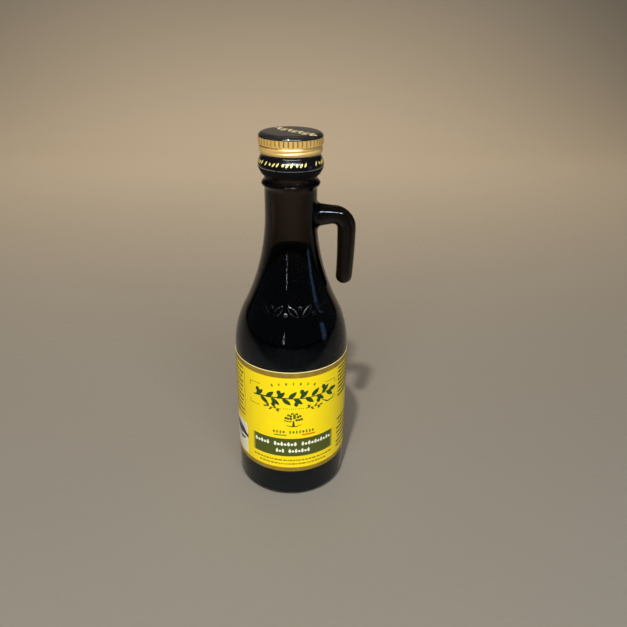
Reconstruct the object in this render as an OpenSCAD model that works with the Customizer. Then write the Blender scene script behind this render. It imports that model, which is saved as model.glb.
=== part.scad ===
// Small olive oil bottle: dark glass with a bell shoulder and a hook handle,
// filled with oil, shut with a rolled-on aluminium screw cap, and a paper label.
// Z is the bottle's axis, the bottle stands on Z = 0, and the handle points to +X.
// The middle of the label's front faces -Y. All sizes are in millimetres.

/* [Glass body] */
// Outer diameter of the straight body
body_d = 61.4; // [52:0.1:74]
// Height at which the straight wall ends
wall_h = 83; // [68:0.5:100]
// Radius between the wall and the base
heel_r = 2.5; // [1:0.1:4]
// Glass thickness of the wall
wall_t = 3.4; // [2:0.1:4.2]
// Glass thickness of the base
base_t = 6.5; // [4:0.1:9]
// Depth of the push-up in the base
punt_h = 2.6; // [1:0.1:4]
// Width of the ring that the bottle stands on
foot_w = 3.2; // [2:0.1:6]

/* [Shoulder and neck] */
// Height of the bell shoulder, from the wall to the neck
shoulder_h = 75; // [60:0.5:90]
// Share of the shoulder that curves outwards
shoulder_share = 0.33; // [0.25:0.01:0.5]
// Outer diameter of the neck
neck_d = 26.0; // [22:0.1:30]
// Height of the plain neck, up to the transfer bead
neck_h = 11.7; // [8:0.1:16]
// Height of the transfer bead
bead_h = 5; // [4:0.1:8]
// How far the transfer bead stands out of the neck
bead_out = 1.45; // [0.8:0.05:2]

/* [Finish under the cap] */
// Height of the bare neck between the bead and the cap
gap_h = 2.1; // [1:0.1:6]
// Height of the locking ring's middle above the cap's lower edge
lock_h = 4.5; // [4:0.1:6]
// How far the locking ring stands out of the neck
lock_out = 2.1; // [1.4:0.05:2.4]
// Height of the hollow over the locking ring, above the cap's lower edge
hollow_h = 9.2; // [8:0.1:11]
// How far the glass stands out of the neck in that hollow
hollow_out = 0.45; // [0.2:0.05:0.8]
// Height of the glass mouth above the cap's lower edge
mouth_h = 18.2; // [17:0.1:22]
// How far the threaded part stands out of the neck
thread_out = 1.2; // [0.8:0.05:1.5]

/* [Screw cap] */
// Thickness of the cap's skirt
skirt_t = 0.6; // [0.4:0.05:1]
// Thickness of the cap's top with its liner
top_t = 1.2; // [0.8:0.1:2]
// Running gap between the cap and the glass
cap_gap = 0.25; // [0.1:0.05:0.4]
// Gap between the cap's lower edge and the neck
tuck_gap = 0.6; // [0.3:0.05:1]
// How far the knurled band stands out of the sleeve below it
knurl_out = 0.5; // [0.4:0.05:0.8]
// Height of the knurled band
knurl_h = 3.3; // [2:0.1:5]
// Number of flutes in the knurled band
flute_n = 45; // [30:1:72]
// Depth of a flute
flute_depth = 0.32; // [0.1:0.01:0.5]
// Radius of the cap's top edge
edge_r = 2; // [0.8:0.1:2.4]
// Depth of the rolled thread grooves
roll_depth = 0.35; // [0.1:0.01:0.4]
// Number of bridges in the tear line
bridge_n = 7; // [4:1:12]
// Width of a bridge, in degrees
bridge_a = 3; // [1:0.5:6]
// Height of the tear slits
slit_h = 0.3; // [0.2:0.05:0.6]

/* [Hook handle] */
// Clear gap between the neck and the grip
grip_gap = 10.45; // [8:0.05:16]
// Height of the arm's centre line below the transfer bead
handle_drop = 14; // [11:0.1:18]
// Height of the handle, from the arm's centre line to the grip's tip
grip_h = 37.5; // [28:0.5:44]
// Thickness of the arm where it leaves the neck
arm_d = 11.4; // [9:0.1:13]
// Thickness of the grip at the bend
grip_d = 9.5; // [7:0.1:11]
// Thickness of the grip at its tip
tip_d = 8.7; // [6:0.1:9.5]
// Radius of the bend's centre line
bend_r = 7.4; // [6:0.1:9]
// How far the arm flares where it meets the neck
flare = 1.9; // [0.5:0.1:3]

/* [Contents and label] */
// Height of the oil's surface
oil_level = 138; // [110:1:150]
// Height of the label's lower edge
label_z = 17.5; // [8:0.5:30]
// Height of the label
label_h = 64.5; // [50:0.5:70]
// Thickness of the paper
label_t = 0.15; // [0.1:0.01:0.3]
// Gap between the label's ends at the back
label_gap = 3; // [1:0.5:12]

/* [Hidden] */
$fn = 96;

body_r = body_d / 2;
neck_r = neck_d / 2;

// Heights up the bottle, from the shoulder to the mouth
neck_z = wall_h + shoulder_h;
bead_z = neck_z + neck_h;
cap_z = bead_z + bead_h + gap_h;
mouth_z = cap_z + mouth_h;
cap_top = mouth_z + top_t;

// Two arcs that meet at one slope make the shoulder.
slope = 2 * atan((body_r - neck_r) / shoulder_h);
arcs_r = shoulder_h / sin(slope);
out_r = shoulder_share * arcs_r;
in_r = arcs_r - out_r;

// Steps along the round stretches of the outline
out_steps = 9;
in_steps = 14;
bead_steps = 10;
round_steps = 5;

// Inner corner between the wall and the floor
inner_heel = heel_r + wall_t;

// The glass under the cap: locking ring, hollow, thread and lip
lock_z = cap_z + lock_h;
lock_r = neck_r + lock_out;
lock_half = 0.7;
lock_slope = 2;
hollow_z = cap_z + hollow_h;
thread_r = neck_r + thread_out;
thread_slope = 1.2;
lip_r = 1;

// The cap's outline
tuck_r = neck_r + tuck_gap + skirt_t;
band_r = lock_r + cap_gap + skirt_t;
waist_r = neck_r + hollow_out + cap_gap + skirt_t;
sleeve_r = thread_r + cap_gap + skirt_t;
sleeve_z = hollow_z + thread_slope;
knurl_r = sleeve_r + knurl_out;
knurl_z = cap_top - edge_r - knurl_h;
slit_drop = 0.9;
slit_z = lock_z - slit_drop;
roll_h = 1.1;
roll_n = 2;
band_steps = 6;

// Room that a cutting shape reaches past what it cuts
cut = 1;

// The handle's bend
arm_z = bead_z - handle_drop;
reach = neck_r + grip_gap + grip_d / 2;
bend_x = reach - bend_r;
bend_z = arm_z - bend_r;
grip_len = grip_h - bend_r - tip_d / 2;
root_x = neck_r - wall_t / 2;
flare_len = 3;
flare_inset = 0.4;

// Points of an arc about a centre, from one angle to another
function arc(cx, cz, r, from, to, steps) =
    [for (i = [0 : steps]) let (a = from + (to - from) * i / steps)
        [cx + r * cos(a), cz + r * sin(a)]];

// The shoulder's outline from the wall up, moved inwards by inset
function shoulder(inset) = concat(
    arc(body_r - out_r, wall_h, out_r - inset, 0, slope, out_steps),
    [for (p = arc(neck_r + in_r, neck_z, in_r + inset, 180 + slope, 180, in_steps))
        if (p[1] > wall_h + out_r * sin(slope) + inset) p]);

// The transfer bead's outline from below
function bead() = [for (i = [0 : bead_steps])
    [neck_r + bead_out * pow(sin(180 * i / bead_steps), 2), bead_z + bead_h * i / bead_steps]];

// The domed face of the push-up, raised by lift, out to radius r, from the axis
function dome(r, lift) = [for (i = [0 : round_steps]) let (s = i / round_steps)
    [r * s, lift + punt_h * pow(cos(90 * s), 2)]];

// The hollow's outline, from the axis at the floor up to height top
function hollow(top) =
    let (r = body_r - wall_t,
         wall = concat(
             dome(r - inner_heel, base_t),
             arc(r - inner_heel, base_t + inner_heel, inner_heel, -75, 0, round_steps),
             [for (p = shoulder(wall_t)) if (p[1] < top) p],
             [[hollow_r(top), top]]))
    concat(wall, [[0, top]]);

// The hollow's radius at a height on the shoulder's inward curve or in the neck
function hollow_r(z) =
    z >= neck_z ? neck_r - wall_t
    : neck_r + in_r - sqrt(pow(in_r + wall_t, 2) - pow(neck_z - z, 2));

module glass_outline() {
    polygon(concat(
        dome(body_r - heel_r - foot_w, 0),
        arc(body_r - heel_r, heel_r, heel_r, -90, 0, round_steps),
        shoulder(0),
        bead(),
        [[neck_r, lock_z - lock_half - lock_slope],
         [lock_r, lock_z - lock_half],
         [lock_r, lock_z + lock_half],
         [neck_r + hollow_out, hollow_z - thread_slope],
         [neck_r + hollow_out, hollow_z],
         [thread_r, sleeve_z],
         [thread_r, mouth_z - lip_r]],
        arc(thread_r - lip_r, mouth_z - lip_r, lip_r, 18, 90, round_steps),
        [[0, mouth_z]]));
}

module handle() {
    // Arm out of the neck, with its flare
    translate([root_x, 0, arm_z]) rotate([0, 90, 0]) {
        cylinder(h = bend_x - root_x, d1 = arm_d, d2 = grip_d);
        cylinder(h = flare_len + wall_t / 2, d1 = arm_d + 2 * flare,
            d2 = arm_d - flare_inset);
    }
    // Bend
    translate([bend_x, 0, bend_z]) rotate([90, 0, 0])
        rotate_extrude(angle = 90) translate([bend_r, 0]) circle(d = grip_d);
    // Grip and its round tip
    translate([reach, 0, bend_z - grip_len]) {
        cylinder(h = grip_len, d1 = tip_d, d2 = grip_d);
        sphere(d = tip_d);
    }
}

module glass_bottle() {
    color([0.05, 0.06, 0.04]) difference() {
        union() {
            rotate_extrude() glass_outline();
            handle();
        }
        rotate_extrude() polygon(hollow(mouth_z + cut));
    }
}

module oil() {
    color([0.25, 0.22, 0.05]) rotate_extrude() polygon(hollow(oil_level));
}

// The cap's band from its lower edge over the locking ring to the hollow, moved in by inset
function band(inset) = concat(
    [for (i = [0 : band_steps]) let (s = i / band_steps)
        [tuck_r - inset + (band_r - tuck_r) * sin(90 * s), cap_z + lock_h * s]],
    [for (i = [1 : band_steps]) let (s = i / band_steps)
        [waist_r - inset + (band_r - waist_r) * cos(90 * s), lock_z + (hollow_z - lock_z) * s]]);

module closure_outline() {
    polygon(concat(
        [[0, cap_z]],
        band(0),
        [[sleeve_r, sleeve_z], [sleeve_r, knurl_z], [knurl_r, knurl_z]],
        arc(knurl_r - edge_r, cap_top - edge_r, edge_r, 0, 90, round_steps),
        [[0, cap_top]]));
}

module closure_bore() {
    polygon(concat(
        [[0, cap_z - cut], [tuck_r - skirt_t, cap_z - cut]],
        band(skirt_t),
        [[sleeve_r - skirt_t, sleeve_z], [sleeve_r - skirt_t, mouth_z], [0, mouth_z]]));
}

module closure() {
    color([0.75, 0.55, 0.15]) difference() {
        rotate_extrude() closure_outline();
        rotate_extrude() closure_bore();
        // Flutes of the knurled band
        for (i = [0 : flute_n - 1]) rotate([0, 0, i * 360 / flute_n])
            translate([knurl_r + flute_depth, 0, knurl_z - cut])
                cylinder(h = knurl_h + cut, r = 2 * flute_depth, $fn = 24);
        // Rolled thread grooves
        for (i = [0 : roll_n - 1])
            translate([0, 0, sleeve_z + (knurl_z - sleeve_z) * (i + 0.5) / roll_n])
                rotate_extrude() polygon([
                    [sleeve_r + cut, -roll_h / 2], [sleeve_r, -roll_h / 2],
                    [sleeve_r - roll_depth, 0],
                    [sleeve_r, roll_h / 2], [sleeve_r + cut, roll_h / 2]]);
        // Tear line between its bridges
        for (i = [0 : bridge_n - 1]) rotate([0, 0, (i + 0.5) * 360 / bridge_n + bridge_a / 2])
            translate([0, 0, slit_z]) rotate_extrude(angle = 360 / bridge_n - bridge_a)
                translate([neck_r, 0]) square([band_r, slit_h]);
    }
}

module label() {
    gap_a = label_gap / body_r * 180 / PI;
    color([0.95, 0.80, 0.10]) translate([0, 0, label_z]) rotate([0, 0, 90 + gap_a / 2])
        rotate_extrude(angle = 360 - gap_a) translate([body_r, 0]) square([label_t, label_h]);
}

glass_bottle();
oil();
closure();
label();
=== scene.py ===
"""Looks of a small olive oil bottle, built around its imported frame.

The dark glass bottle with its hook handle, the oil in it, the rolled-on cap and the wrap
label each replace their plain solid. Sizes are in millimetres until a mesh is made, Z is the
bottle's axis, the handle points to +X and the middle of the label's front faces -Y.
"""

from __future__ import annotations

import logging
import math
import random
from dataclasses import dataclass, field, replace
from enum import Enum, IntEnum
from typing import Callable, Iterable, Sequence

import bmesh
import bpy
import numpy as np
from mathutils import Matrix, Vector


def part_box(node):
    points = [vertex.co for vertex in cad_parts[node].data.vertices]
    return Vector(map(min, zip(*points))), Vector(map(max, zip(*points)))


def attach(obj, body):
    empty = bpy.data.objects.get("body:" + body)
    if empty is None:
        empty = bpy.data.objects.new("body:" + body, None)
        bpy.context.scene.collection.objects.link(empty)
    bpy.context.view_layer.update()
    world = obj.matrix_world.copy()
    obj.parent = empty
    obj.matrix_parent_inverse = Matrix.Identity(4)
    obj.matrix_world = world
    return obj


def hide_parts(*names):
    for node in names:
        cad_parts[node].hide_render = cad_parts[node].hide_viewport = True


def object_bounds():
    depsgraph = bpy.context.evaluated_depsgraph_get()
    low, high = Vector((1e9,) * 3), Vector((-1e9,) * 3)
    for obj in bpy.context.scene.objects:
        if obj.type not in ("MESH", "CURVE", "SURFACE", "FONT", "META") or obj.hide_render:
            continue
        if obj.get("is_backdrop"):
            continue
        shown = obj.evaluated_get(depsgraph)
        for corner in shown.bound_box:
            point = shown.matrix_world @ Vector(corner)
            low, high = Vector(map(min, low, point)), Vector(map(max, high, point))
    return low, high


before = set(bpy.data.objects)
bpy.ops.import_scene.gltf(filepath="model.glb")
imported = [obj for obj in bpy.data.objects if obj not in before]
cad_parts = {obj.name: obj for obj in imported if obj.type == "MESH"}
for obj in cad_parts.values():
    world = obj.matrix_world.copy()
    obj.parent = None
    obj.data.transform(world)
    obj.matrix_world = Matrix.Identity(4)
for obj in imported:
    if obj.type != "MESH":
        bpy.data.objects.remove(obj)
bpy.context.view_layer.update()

MM = 0.001
BODY = "root"
NOISE_LOW, NOISE_HIGH = 0.3, 0.7
GRAIN_DETAIL, DRIFT_DETAIL, DRIFT_SHARE = 3.0, 2.0, 8.0
COAT_ROUGH = 0.08
MIX_FACTOR, MIX_FIRST, MIX_SECOND, MIX_RESULT = 0, 6, 7, 2
FULL_TURN = 2.0 * np.pi
ROUND_OFF = 1e-6
log = logging.getLogger("bottle")

Colour = tuple[float, float, float]
Point2 = tuple[float, float]
Bar = tuple[float, float, float, float]


class Slot(Enum):
    """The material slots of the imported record."""

    GLASS = "bottle_glass"
    OIL = "oil"
    CAP = "cap_metal"
    LABEL = "label_paper"


def tint(red: int, green: int, blue: int) -> Colour:
    """Returns the linear colour of a display colour.

    Args:
        red: Red from 0 to 255.
        green: Green from 0 to 255.
        blue: Blue from 0 to 255.

    Returns:
        The three linear values from 0 to 1.
    """
    return tuple(
        v / 12.92 if v <= 0.04045 else ((v + 0.055) / 1.055) ** 2.4
        for v in (red / 255, green / 255, blue / 255)
    )


def smooth_step(low: float, high: float, value: np.ndarray) -> np.ndarray:
    """Returns a soft ramp from 0 at low to 1 at high.

    Args:
        low: Where the ramp starts.
        high: Where the ramp ends.
        value: The values to map.

    Returns:
        The mapped values.
    """
    share = np.clip((np.asarray(value, float) - low) / (high - low), 0.0, 1.0)
    return share * share * (3.0 - 2.0 * share)


# ---------------------------------------------------------------- finishes


class ShaderTree:
    """A new material with one surface shader, and short ways to add nodes to it."""

    def __init__(self, name: str) -> None:
        """Makes the material and its shader.

        Args:
            name: The material's name.
        """
        self.material = bpy.data.materials.new(name)
        self.material.use_nodes = True
        self.nodes = self.material.node_tree.nodes
        self.shader = self.nodes["Principled BSDF"]
        self.output = self.nodes["Material Output"]

    def feed(self, node: bpy.types.Node, inputs: dict[str | int, object]) -> None:
        """Sets a node's inputs to numbers and colours, or links them to other nodes' outputs.

        Args:
            node: The node.
            inputs: What each input gets, by its name or its place.
        """
        for key, value in inputs.items():
            if isinstance(value, bpy.types.NodeSocket):
                self.material.node_tree.links.new(value, node.inputs[key])
            else:
                node.inputs[key].default_value = value

    def add(self, kind: str, inputs: dict[str | int, object], **values: object) -> bpy.types.Node:
        """Adds a node.

        Args:
            kind: The node's type name.
            inputs: What each input gets, by its name or its place.
            **values: Properties of the node by name.

        Returns:
            The new node.
        """
        node = self.nodes.new(kind)
        for name, value in values.items():
            setattr(node, name, value)
        self.feed(node, inputs)
        return node

    def place(self, stretch: Sequence[float]) -> bpy.types.NodeSocket:
        """Returns object coordinates scaled along each axis.

        Args:
            stretch: The scale along x, y and z.

        Returns:
            The vector output.
        """
        where = self.add("ShaderNodeTexCoord", {}).outputs["Object"]
        inputs = {"Scale": tuple(stretch), "Vector": where}
        return self.add("ShaderNodeMapping", inputs).outputs["Vector"]

    def noise(self, scale: float, detail: float, stretch: Sequence[float]) -> bpy.types.NodeSocket:
        """Adds a noise over the object.

        Args:
            scale: Waves per metre.
            detail: Octaves of finer noise.
            stretch: The scale along x, y and z.

        Returns:
            The noise's factor output.
        """
        inputs = {"Scale": scale, "Detail": detail, "Vector": self.place(stretch)}
        return self.add("ShaderNodeTexNoise", inputs).outputs["Fac"]

    def spread(self, factor: bpy.types.NodeSocket, low: float, high: float) -> bpy.types.NodeSocket:
        """Maps a noise's middle range to values between low and high.

        Args:
            factor: The noise.
            low: Value at the noise's low end.
            high: Value at the noise's high end.

        Returns:
            The mapped output.
        """
        inputs = {"Value": factor, "To Min": low, "To Max": high}
        inputs |= {"From Min": NOISE_LOW, "From Max": NOISE_HIGH}
        return self.add("ShaderNodeMapRange", inputs).outputs["Result"]

    def soft_edge(self, value: bpy.types.NodeSocket, low: float, high: float) -> bpy.types.NodeSocket:
        """Makes a soft ramp from 0 to 1.

        Args:
            value: What is ramped.
            low: Where the ramp starts.
            high: Where the ramp ends.

        Returns:
            The ramp's output.
        """
        inputs = {"Value": value, "From Min": low, "From Max": high}
        ramp = self.add("ShaderNodeMapRange", inputs, interpolation_type="SMOOTHSTEP")
        return ramp.outputs["Result"]

    def split(self, stretch: Sequence[float]) -> tuple[bpy.types.NodeSocket, bpy.types.NodeSocket]:
        """Returns x and y of the object coordinates, scaled along x, y and z."""
        parts = self.add("ShaderNodeSeparateXYZ", {"Vector": self.place(stretch)}).outputs
        return parts["X"], parts["Y"]

    def calculate(self, operation: str, *values: bpy.types.NodeSocket | float) -> bpy.types.NodeSocket:
        """Returns the result of a math node on outputs of other nodes or numbers."""
        node = self.add("ShaderNodeMath", dict(enumerate(values)), operation=operation)
        return node.outputs["Value"]

    def blend(self, factor: bpy.types.NodeSocket, first: Colour, second: Colour) -> bpy.types.NodeSocket:
        """Mixes two colours.

        Args:
            factor: How much of the second colour.
            first: Colour at 0.
            second: Colour at 1.

        Returns:
            The colour output.
        """
        inputs = {MIX_FACTOR: factor, MIX_FIRST: (*first, 1.0), MIX_SECOND: (*second, 1.0)}
        return self.add("ShaderNodeMix", inputs, data_type="RGBA").outputs[MIX_RESULT]


@dataclass(frozen=True)
class Finish:
    """A surface whose colour, gloss and fine relief vary a little over it."""

    name: str
    colour: Colour
    drift: Colour
    rough: Point2 = (0.3, 0.4)
    grain: float = 600.0
    relief: float = 0.01
    metallic: float = 0.0
    coat: float = 0.0
    specular: float = 0.5
    stretch: tuple[float, float, float] = (1.0, 1.0, 1.0)

    def material(self) -> bpy.types.Material:
        """Returns the finish's material, made on first use."""
        found = bpy.data.materials.get(self.name)
        return found if found else self.make()

    def make(self) -> bpy.types.Material:
        """Makes the node material.

        Returns:
            The new material.
        """
        tree = ShaderTree(self.name)
        grain = tree.noise(self.grain, GRAIN_DETAIL, self.stretch)
        relief = {"Strength": 1.0, "Distance": self.relief * MM, "Height": grain}
        tree.feed(tree.shader, {
            "Base Color": self.tone(tree),
            "Roughness": tree.spread(grain, *self.rough),
            "Normal": tree.add("ShaderNodeBump", relief).outputs["Normal"],
            "Metallic": self.metallic,
            "Coat Weight": self.coat,
            "Coat Roughness": COAT_ROUGH,
            "Specular IOR Level": self.specular,
        })
        self.extend(tree)
        return tree.material

    def tone(self, tree: ShaderTree) -> bpy.types.NodeSocket:
        """Returns the colour, which drifts slowly between the two tones."""
        slow = tree.noise(self.grain / DRIFT_SHARE, DRIFT_DETAIL, self.stretch)
        return tree.blend(tree.spread(slow, 0.0, 1.0), self.colour, self.drift)

    def extend(self, tree: ShaderTree) -> None:
        """Lets a special finish add to the shader."""


@dataclass(frozen=True)
class ClearBody(Finish):
    """A clear material that takes up light inside, such as glass or oil."""

    ior: float = 1.5
    depth_colour: Colour = (0.5, 0.5, 0.5)
    density: float = 100.0
    # Painted reflection colour: a tint on every reflection, cool blue on the bottle's glass, standing in
    # for bluish light round it.
    painted_sheen: Colour = (1.0, 1.0, 1.0)

    def extend(self, tree: ShaderTree) -> None:
        """Makes the shader clear, tints its reflections with the painted sheen and fills it with an
        absorbing volume.

        Args:
            tree: The material's tree.
        """
        clear = {"Transmission Weight": 1.0, "IOR": self.ior, "Specular Tint": (*self.painted_sheen, 1.0)}
        tree.feed(tree.shader, clear)
        inside = {"Color": (*self.depth_colour, 1.0), "Density": self.density}
        volume = tree.add("ShaderNodeVolumeAbsorption", inside).outputs["Volume"]
        tree.feed(tree.output, {"Volume": volume})


@dataclass(frozen=True)
class Ink(Finish):
    """A thin printed colour with a soft gloss."""

    rough: Point2 = (0.32, 0.45)
    grain: float = 1500.0
    relief: float = 0.004


@dataclass(frozen=True)
class FadingInk(Ink):
    """An ink that fades into the paper towards both ends of its field."""

    paper: Colour = (1.0, 1.0, 1.0)
    fade_from: float = 0.7
    fade_to: float = 0.8

    def tone(self, tree: ShaderTree) -> bpy.types.NodeSocket:
        """Mixes ink and paper by the angle round the bottle.

        Args:
            tree: The material's tree.

        Returns:
            The colour output.
        """
        angle = tree.calculate("ARCTAN2", *tree.split((1.0, -1.0, 1.0)))
        fade = tree.soft_edge(tree.calculate("ABSOLUTE", angle), self.fade_from, self.fade_to)
        return tree.blend(fade, self.colour, self.paper)


@dataclass(frozen=True)
class StudioPaper(Finish):
    """Pale paper round the bottle and behind it, with painted shade that turns it dark well in front of
    it, where the glass reflects it.
    """

    # Colour of the painted shade well in front of the bottle.
    dark: Colour = (0.045, 0.044, 0.043)
    middle_y: float = 0.42
    side_share: float = 0.35
    pale_r: float = 0.55
    dark_r: float = 0.63

    def tone(self, tree: ShaderTree) -> bpy.types.NodeSocket:
        """Mixes the pale paper and its painted shade by the distance from a point behind the bottle.

        Args:
            tree: The material's tree.

        Returns:
            The colour output.
        """
        x, y = tree.split((self.side_share, 1.0, 1.0))
        ahead = tree.calculate("MINIMUM", tree.calculate("SUBTRACT", y, self.middle_y), 0.0)
        offset = tree.add("ShaderNodeCombineXYZ", {"X": x, "Y": ahead}).outputs["Vector"]
        far = tree.add("ShaderNodeVectorMath", {0: offset}, operation="LENGTH").outputs["Value"]
        return tree.blend(tree.soft_edge(far, self.pale_r, self.dark_r), self.colour, self.dark)


PAPER_YELLOW = tint(255, 226, 12)

BOTTLE_GLASS = ClearBody(
    "dark_bottle_glass", (1.0, 1.0, 1.0), (0.94, 0.96, 1.0), rough=(0.012, 0.035), grain=55.0,
    relief=0.05, specular=0.36, ior=1.52, depth_colour=(0.38, 0.31, 0.18), density=780.0,
    painted_sheen=(0.66, 0.80, 1.0),
)
PRESSED_GLASS = replace(
    BOTTLE_GLASS, name="pressed_glass_edge", rough=(0.36, 0.44), relief=0.02, specular=0.5,
    painted_sheen=(1.0, 1.0, 1.0),
)
OLIVE_OIL = ClearBody(
    "olive_oil", (1.0, 0.97, 0.72), (1.0, 0.95, 0.66), rough=(0.0, 0.02), grain=40.0,
    relief=0.01, ior=1.47, depth_colour=(0.45, 0.40, 0.06), density=110.0,
)
BLACK_TOP = Finish(
    "satin_black_lacquer", tint(38, 35, 34), tint(32, 30, 30), rough=(0.07, 0.12),
    grain=1500.0, relief=0.008, coat=0.45,
)
BLACK_BAND = Finish(
    "gloss_black_lacquer", tint(12, 12, 15), tint(8, 8, 11), rough=(0.12, 0.2),
    grain=900.0, relief=0.01, coat=0.3, specular=0.45,
)
GOLD_LACQUER = Finish(
    "gold_lacquer", (1.0, 0.70, 0.25), (1.0, 0.63, 0.18), rough=(0.26, 0.38),
    grain=1200.0, relief=0.012, metallic=0.5, coat=0.2, stretch=(1.0, 1.0, 0.25),
)
# Painted shade: a darker, duller gold for the bottoms of the knurl's grooves, where shade falls.
GOLD_GROOVE_SHADE = Finish(
    "gold_groove_painted_shade", tint(196, 142, 64), tint(172, 120, 50), rough=(0.4, 0.52),
    grain=1200.0, relief=0.012, metallic=0.4,
)
TUCKED_BAND = Finish(
    "black_tuck", tint(12, 11, 11), tint(9, 9, 9), rough=(0.5, 0.62),
    grain=1200.0, relief=0.01, specular=0.12,
)
PALE_GOLD = Finish(
    "white_gold_print", tint(250, 236, 196), tint(240, 220, 170), rough=(0.26, 0.38),
    grain=1200.0, relief=0.004, metallic=0.25,
)
BARE_METAL = Finish(
    "bare_aluminium", (0.86, 0.85, 0.84), (0.78, 0.77, 0.76), rough=(0.25, 0.4),
    grain=2000.0, relief=0.01, metallic=1.0,
)
GOLD_PRINT = Finish(
    "pale_gold_print", tint(252, 232, 140), tint(244, 218, 120), rough=(0.3, 0.42),
    grain=1800.0, relief=0.004, metallic=0.25,
)
COATED_PAPER = Finish(
    "coated_yellow_paper", PAPER_YELLOW, tint(255, 221, 6), rough=(0.34, 0.46),
    grain=1400.0, relief=0.006, specular=0.4,
)
FOIL_BORDER = Finish(
    "dull_gold_border", tint(178, 144, 48), tint(158, 124, 38), rough=(0.28, 0.42),
    grain=1600.0, relief=0.006, metallic=0.35,
)
GREEN_INK = Ink("dark_green_ink", tint(40, 72, 22), tint(30, 60, 18))
OLIVE_INK = Ink("olive_ink", tint(112, 104, 20), tint(92, 88, 18))
DARK_INK = Ink("dark_olive_ink", tint(70, 62, 16), tint(58, 52, 16))
FINE_INK = Ink("fine_olive_ink", tint(150, 128, 16), tint(132, 112, 16))
CREAM_INK = Ink("cream_ink", tint(250, 246, 222), tint(242, 236, 206))
RED_INK = Ink("red_ink", tint(214, 62, 22), tint(200, 52, 20))
LEAF_INK = Ink("leaf_green_ink", tint(96, 142, 30), tint(84, 128, 26))
VIOLET_INK = Ink("violet_ink", tint(62, 40, 88), tint(50, 32, 74))
BANNER_INK = FadingInk(
    "banner_green_ink", tint(74, 84, 22), tint(66, 78, 20),
    paper=PAPER_YELLOW, fade_from=22.2 / 30.8, fade_to=25.2 / 30.8,
)
FLOOR_PAPER = StudioPaper(
    "pale_floor_paper_painted_shade", tint(134, 127, 117), tint(129, 122, 112), rough=(0.55, 0.75),
    grain=240.0, relief=0.12, specular=0.3,
)


# ---------------------------------------------------------------- mesh work


class Draft:
    """The points, in millimetres, and faces of one piece before it becomes a mesh."""

    def __init__(self) -> None:
        """Starts with no points."""
        self.points: list[np.ndarray] = []
        self.count = 0
        self.faces: list[Sequence[int]] = []
        self.zones: list[int] = []

    def add(self, points: np.ndarray) -> np.ndarray:
        """Adds points.

        Args:
            points: One row of x, y and z for each point.

        Returns:
            The points' numbers.
        """
        first = self.count
        self.points.append(np.atleast_2d(points))
        self.count += len(self.points[-1])
        return np.arange(first, self.count)

    def face(self, corners: Sequence[int], zone: int = 0) -> None:
        """Adds one face with the finish of that number."""
        self.faces.append([int(c) for c in corners])
        self.zones.append(int(zone))

    def bridge(
        self,
        low: np.ndarray,
        high: np.ndarray,
        zone: int | Callable[[int], int] = 0,
        closed: bool = True,
        skip: frozenset[int] = frozenset(),
    ) -> None:
        """Joins two rows of equal length with four-sided faces.

        Args:
            low: Numbers of the first row's points.
            high: Numbers of the second row's points.
            zone: The faces' finish, or a function of the column that gives it.
            closed: True if each row is a ring.
            skip: Columns left open.
        """
        size = len(low)
        for k in range(size if closed else size - 1):
            if k not in skip:
                after = (k + 1) % size
                kind = zone(k) if callable(zone) else zone
                self.face((low[k], low[after], high[after], high[k]), kind)

    def lathe(
        self, last: np.ndarray, outline: Iterable[tuple[float | np.ndarray, float]], zone: int = 0
    ) -> np.ndarray:
        """Adds a level ring for each point of an outline and joins each to the one before.

        Args:
            last: Numbers of the ring to start from.
            outline: Radius and height of each ring.
            zone: The faces' finish.

        Returns:
            Numbers of the last ring's points.
        """
        for radius, z in outline:
            new = self.add(ring(radius, z, len(last)))
            self.bridge(last, new, zone)
            last = new
        return last

    def fan(self, tip: Sequence[float], edge: np.ndarray, zone: int = 0) -> None:
        """Closes a ring with triangles to one point.

        Args:
            tip: The point's x, y and z.
            edge: Numbers of the ring's points.
            zone: The faces' finish.
        """
        middle = int(self.add(np.array(tip))[0])
        for k in range(len(edge)):
            self.face((edge[k], edge[(k + 1) % len(edge)], middle), zone)

    def build(self, name: str, finishes: Sequence[Finish], sharp_deg: float = 40.0) -> bpy.types.Object:
        """Makes the mesh object.

        Args:
            name: The piece's name.
            finishes: The finishes that the zones number.
            sharp_deg: Edges that turn more than this stay sharp.

        Returns:
            The new object.
        """
        mesh = bpy.data.meshes.new(name)
        mesh.from_pydata(np.vstack(self.points) * MM, [], self.faces)
        for finish in finishes:
            mesh.materials.append(finish.material())
        mesh.polygons.foreach_set("material_index", self.zones)
        work = bmesh.new()
        work.from_mesh(mesh)
        bmesh.ops.recalc_face_normals(work, faces=work.faces)
        work.to_mesh(mesh)
        work.free()
        mesh.polygons.foreach_set("use_smooth", [True] * len(mesh.polygons))
        mesh.set_sharp_from_angle(angle=math.radians(sharp_deg))
        return show(name, mesh)


def show(name: str, data: bpy.types.ID) -> bpy.types.Object:
    """Adds an object to the scene.

    Args:
        name: The object's name.
        data: The mesh, light or camera that it shows.

    Returns:
        The new object.
    """
    item = bpy.data.objects.new(name, data)
    bpy.context.scene.collection.objects.link(item)
    return item


def mix(first: float | np.ndarray, second: float | np.ndarray, share: float) -> float | np.ndarray:
    """Returns the value at a share of the way from the first to the second."""
    return first + (second - first) * share


def turns(columns: int, shift: float = 0.0) -> np.ndarray:
    """Returns the angle of each column of a ring, moved on by a share of a column."""
    return (np.arange(columns) + shift) * FULL_TURN / columns


def around(radius: float | np.ndarray, turn: np.ndarray, z: float | np.ndarray) -> np.ndarray:
    """Returns points round the axis.

    Args:
        radius: One radius, or one for each point.
        turn: Angle of each point from the front.
        z: One height, or one for each point.

    Returns:
        The points.
    """
    return np.column_stack((radius * np.sin(turn), -radius * np.cos(turn), z + np.zeros(len(turn))))


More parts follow.
